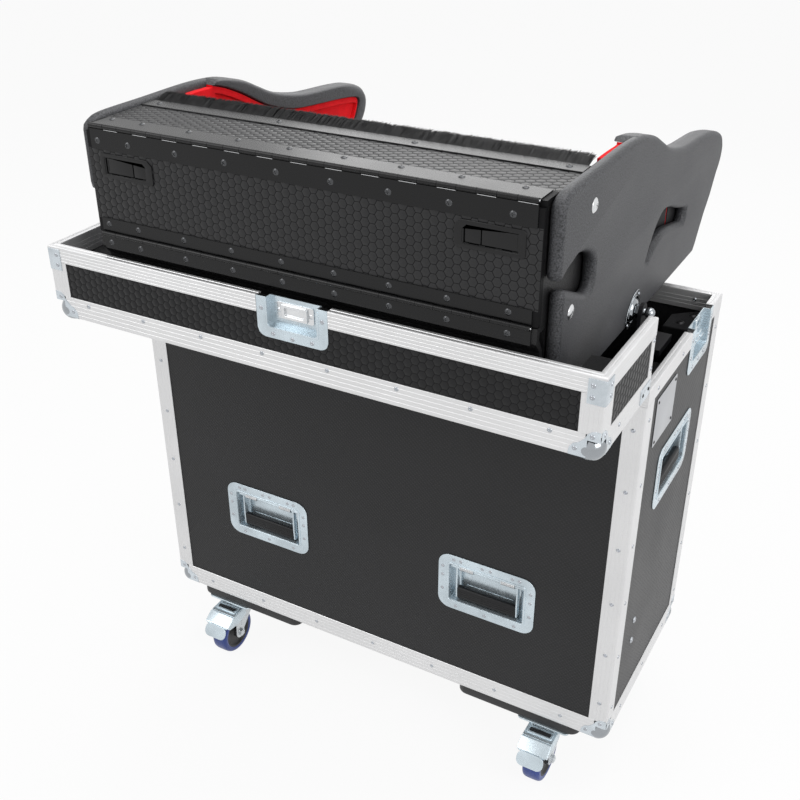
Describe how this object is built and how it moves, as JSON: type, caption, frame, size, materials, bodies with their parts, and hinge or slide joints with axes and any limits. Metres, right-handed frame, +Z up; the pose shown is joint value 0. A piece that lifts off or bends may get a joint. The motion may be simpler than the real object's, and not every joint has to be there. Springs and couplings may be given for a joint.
{
  "type": "mixer_flight_case",
  "caption": "Wheeled road case for a mixing console, open: tray folded down, cradle with felt lined cheeks flipped up, hinged cable housing, recessed handles and latches",
  "frame": {"origin": "on the floor under the centre of the bounding box, case open", "axes": "+X to the right seen from the front, +Y to the back, +Z up"},
  "size_m": [1.004, 0.8982, 1.2592],
  "materials": {
    "laminate_black": "matt laminate on plywood",
    "laminate_hex": "hexagon embossed laminate",
    "aluminium_satin": "satin anodised",
    "zinc_plate": "bright zinc plated",
    "black_metal": "satin black",
    "grey_plastic": "fine grain",
    "red_felt": "red felt",
    "black_plastic": "satin",
    "black_rubber": "smooth",
    "blue_tyre": "blue elastic tread, black centre",
    "black_foam": "matt",
    "black_carpet": "textured black"
  },
  "bodies": {
    "case": {"body_floor": "laminate_black", "body_front_panel": "laminate_black", "body_back_panel": "laminate_black", "body_side_panel_left": "laminate_black", "body_side_panel_right": "laminate_black", "body_frame": "aluminium_satin", "caster_board_left": "black_plastic", "caster_board_right": "black_plastic", "handle_dish_front_left": "zinc_plate", "handle_dish_front_right": "zinc_plate", "handle_dish_left": "zinc_plate", "handle_dish_right": "zinc_plate", "latch_dish_left": "zinc_plate", "latch_dish_right": "zinc_plate", "lift_guide_left": "black_metal", "lift_guide_right": "black_metal", "corner_block_left": "black_carpet", "corner_block_right": "black_carpet"},
    "lift": {"lift_bar_left": "zinc_plate", "lift_bar_right": "zinc_plate"},
    "cradle": {"cheek_left": "grey_plastic", "cheek_right": "grey_plastic", "cheek_liner_left": "red_felt", "cheek_liner_right": "red_felt", "cradle_pan": "black_carpet", "pivot_pin_left": "zinc_plate", "pivot_pin_right": "zinc_plate", "sill_hinge_leaf": "black_metal"},
    "tray": {"tray_shell": "laminate_hex", "tray_frame": "aluminium_satin", "tray_latch_keeper": "zinc_plate", "tray_foam_block_left": "black_foam", "tray_foam_block_right": "black_foam"},
    "housing_front": {"housing_front_panel": "laminate_hex", "front_low_hinge_leaf": "black_metal", "front_top_hinge_leaf": "black_metal", "slam_latch_bezel_left": "black_plastic", "slam_latch_bezel_right": "black_plastic"},
    "housing_top": {"housing_top_panel": "laminate_hex", "top_hinge_leaf": "black_metal", "brush_strip": "black_metal", "cable_brush": "black_foam"},
    "paddle_left": {"slam_latch_paddle_left": "black_plastic"},
    "paddle_right": {"slam_latch_paddle_right": "black_plastic"},
    "wing_left": {"latch_wing_left": "zinc_plate"},
    "wing_right": {"latch_wing_right": "zinc_plate"},
    "grip_front_left": {"handle_grip_front_left": "black_rubber"},
    "grip_front_right": {"handle_grip_front_right": "black_rubber"},
    "grip_left": {"handle_grip_left": "black_rubber"},
    "grip_right": {"handle_grip_right": "black_rubber"},
    "fork_front_left": {"caster_fork_front_left": "zinc_plate"},
    "wheel_front_left": {"caster_wheel_front_left": "blue_tyre"},
    "fork_front_right": {"caster_fork_front_right": "zinc_plate"},
    "wheel_front_right": {"caster_wheel_front_right": "blue_tyre"},
    "fork_back_left": {"caster_fork_back_left": "zinc_plate"},
    "wheel_back_left": {"caster_wheel_back_left": "blue_tyre"},
    "fork_back_right": {"caster_fork_back_right": "zinc_plate"},
    "wheel_back_right": {"caster_wheel_back_right": "blue_tyre"},
    "pedal_front_left": {"brake_pedal_front_left": "zinc_plate"},
    "pedal_front_right": {"brake_pedal_front_right": "zinc_plate"}
  },
  "joints": [
    {"name": "lift_slide", "type": "slide", "parent": "case", "child": "lift", "axis": [0, 0, 1], "range_m": [0, 0.54]},
    {"name": "cradle_flip", "type": "hinge", "parent": "lift", "child": "cradle", "pos_m": [0, -0.067, 0.953], "axis": [1, 0, 0], "range_deg": [-90, 0]},
    {"name": "tray_hinge", "type": "hinge", "parent": "case", "child": "tray", "pos_m": [0, -0.227, 0.899], "axis": [1, 0, 0], "range_deg": [-90, 0]},
    {"name": "housing_front_hinge", "type": "hinge", "parent": "cradle", "child": "housing_front", "pos_m": [0, -0.4315, 1.0635], "axis": [1, 0, 0], "range_deg": [0, 100]},
    {"name": "housing_top_hinge", "type": "hinge", "parent": "housing_front", "child": "housing_top", "pos_m": [0, -0.4275, 1.2415], "axis": [1, 0, 0], "range_deg": [0, 180]},
    {"name": "slam_latch_paddle_left_hinge", "type": "hinge", "parent": "housing_front", "child": "paddle_left", "pos_m": [-0.304, -0.4255, 1.179], "axis": [0, 0, 1], "range_deg": [0, 25], "stiffness_Nm_per_rad": 0.05},
    {"name": "slam_latch_paddle_right_hinge", "type": "hinge", "parent": "housing_front", "child": "paddle_right", "pos_m": [0.304, -0.4255, 1.179], "axis": [0, 0, -1], "range_deg": [0, 25], "stiffness_Nm_per_rad": 0.05},
    {"name": "latch_wing_left_turn", "type": "hinge", "parent": "case", "child": "wing_left", "pos_m": [-0.4982, 0.071, 0.863], "axis": [-1, 0, 0], "range_deg": [0, 180]},
    {"name": "latch_wing_right_turn", "type": "hinge", "parent": "case", "child": "wing_right", "pos_m": [0.4982, 0.071, 0.863], "axis": [1, 0, 0], "range_deg": [0, 180]},
    {"name": "handle_grip_front_left_hinge", "type": "hinge", "parent": "case", "child": "grip_front_left", "pos_m": [-0.245, -0.2192, 0.4385], "axis": [-1, 0, 0], "range_deg": [0, 85], "stiffness_Nm_per_rad": 0.4},
    {"name": "handle_grip_front_right_hinge", "type": "hinge", "parent": "case", "child": "grip_front_right", "pos_m": [0.245, -0.2192, 0.4385], "axis": [-1, 0, 0], "range_deg": [0, 85], "stiffness_Nm_per_rad": 0.4},
    {"name": "handle_grip_left_hinge", "type": "hinge", "parent": "case", "child": "grip_left", "pos_m": [-0.4922, -0.01305, 0.6955], "axis": [0, 1, 0], "range_deg": [0, 85], "stiffness_Nm_per_rad": 0.4},
    {"name": "handle_grip_right_hinge", "type": "hinge", "parent": "case", "child": "grip_right", "pos_m": [0.4922, -0.01305, 0.6955], "axis": [0, -1, 0], "range_deg": [0, 85], "stiffness_Nm_per_rad": 0.4},
    {"name": "caster_swivel_front_left", "type": "hinge", "parent": "case", "child": "fork_front_left", "pos_m": [-0.375, -0.182, 0.1267], "axis": [0, 0, 1], "continuous": true},
    {"name": "caster_wheel_front_left_spin", "type": "hinge", "parent": "fork_front_left", "child": "wheel_front_left", "pos_m": [-0.375, -0.22, 0.05], "axis": [1, 0, 0], "continuous": true},
    {"name": "brake_pedal_front_left_hinge", "type": "hinge", "parent": "fork_front_left", "child": "pedal_front_left", "pos_m": [-0.375, -0.2105, 0.1104], "axis": [1, 0, 0], "range_deg": [0, 6]},
    {"name": "caster_swivel_front_right", "type": "hinge", "parent": "case", "child": "fork_front_right", "pos_m": [0.375, -0.182, 0.1267], "axis": [0, 0, 1], "continuous": true},
    {"name": "caster_wheel_front_right_spin", "type": "hinge", "parent": "fork_front_right", "child": "wheel_front_right", "pos_m": [0.375, -0.22, 0.05], "axis": [1, 0, 0], "continuous": true},
    {"name": "brake_pedal_front_right_hinge", "type": "hinge", "parent": "fork_front_right", "child": "pedal_front_right", "pos_m": [0.375, -0.2105, 0.1104], "axis": [1, 0, 0], "range_deg": [0, 6]},
    {"name": "caster_swivel_back_left", "type": "hinge", "parent": "case", "child": "fork_back_left", "pos_m": [-0.375, 0.15, 0.1267], "axis": [0, 0, 1], "continuous": true},
    {"name": "caster_wheel_back_left_spin", "type": "hinge", "parent": "fork_back_left", "child": "wheel_back_left", "pos_m": [-0.375, 0.188, 0.05], "axis": [1, 0, 0], "continuous": true},
    {"name": "caster_swivel_back_right", "type": "hinge", "parent": "case", "child": "fork_back_right", "pos_m": [0.375, 0.15, 0.1267], "axis": [0, 0, 1], "continuous": true},
    {"name": "caster_wheel_back_right_spin", "type": "hinge", "parent": "fork_back_right", "child": "wheel_back_right", "pos_m": [0.375, 0.188, 0.05], "axis": [1, 0, 0], "continuous": true}
  ],
  "couplings": [
    {"joint": "cradle_flip", "follows": "lift_slide", "rad_per_m": -2.9089},
    {"joint": "tray_hinge", "follows": "lift_slide", "rad_per_m": -2.9089}
  ]
}
